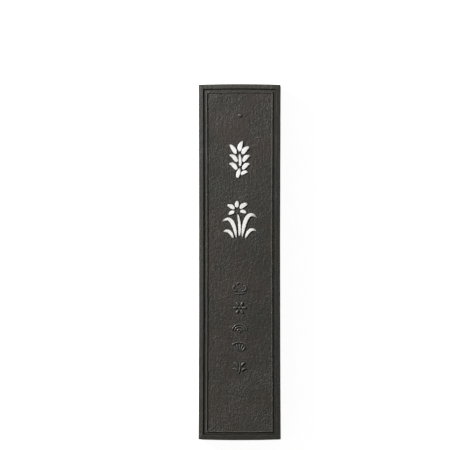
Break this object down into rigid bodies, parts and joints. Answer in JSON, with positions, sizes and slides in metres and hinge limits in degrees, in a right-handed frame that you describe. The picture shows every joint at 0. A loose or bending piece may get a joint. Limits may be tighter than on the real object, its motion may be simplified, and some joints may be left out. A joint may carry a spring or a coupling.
{
  "type": "ink stick",
  "caption": "Rectangular moulded ink stick with a raised rim, a fine inner frame line, a sunk grained panel and raised plant ornament, part of it painted silver.",
  "frame": {"origin": "middle of the plane that the back rim rests on", "axes": "+Y along the length towards the tops of the ornaments, +X across the width to the right as the front face is read, +Z out of the front face"},
  "size_m": [0.031, 0.1344, 0.013],
  "materials": {
    "ink": "dry matte cake of soot and glue with a fine grain, slightly burnished on the rim",
    "silver": "dry silver pigment brushed on by hand"
  },
  "bodies": {
    "root": {"ink_body": "ink", "sprig_stem_foot": "silver", "sprig_stem_top": "silver", "sprig_leaf_tip": "silver", "sprig_leaf_left_high": "silver", "sprig_leaf_right_high": "silver", "sprig_leaf_left_middle": "silver", "sprig_leaf_right_middle": "silver", "sprig_leaf_left_low": "silver", "sprig_leaf_right_low": "silver", "sprig_leaf_foot": "silver", "orchid_leaf_left_long": "silver", "orchid_leaf_right_long": "silver", "orchid_leaf_left_short": "silver", "orchid_leaf_right_short": "silver", "orchid_stalk": "silver", "orchid_petal_top": "silver", "orchid_petal_left_high": "silver", "orchid_petal_right_high": "silver", "orchid_petal_left_low": "silver", "orchid_petal_right_low": "silver"}
  },
  "joints": []
}
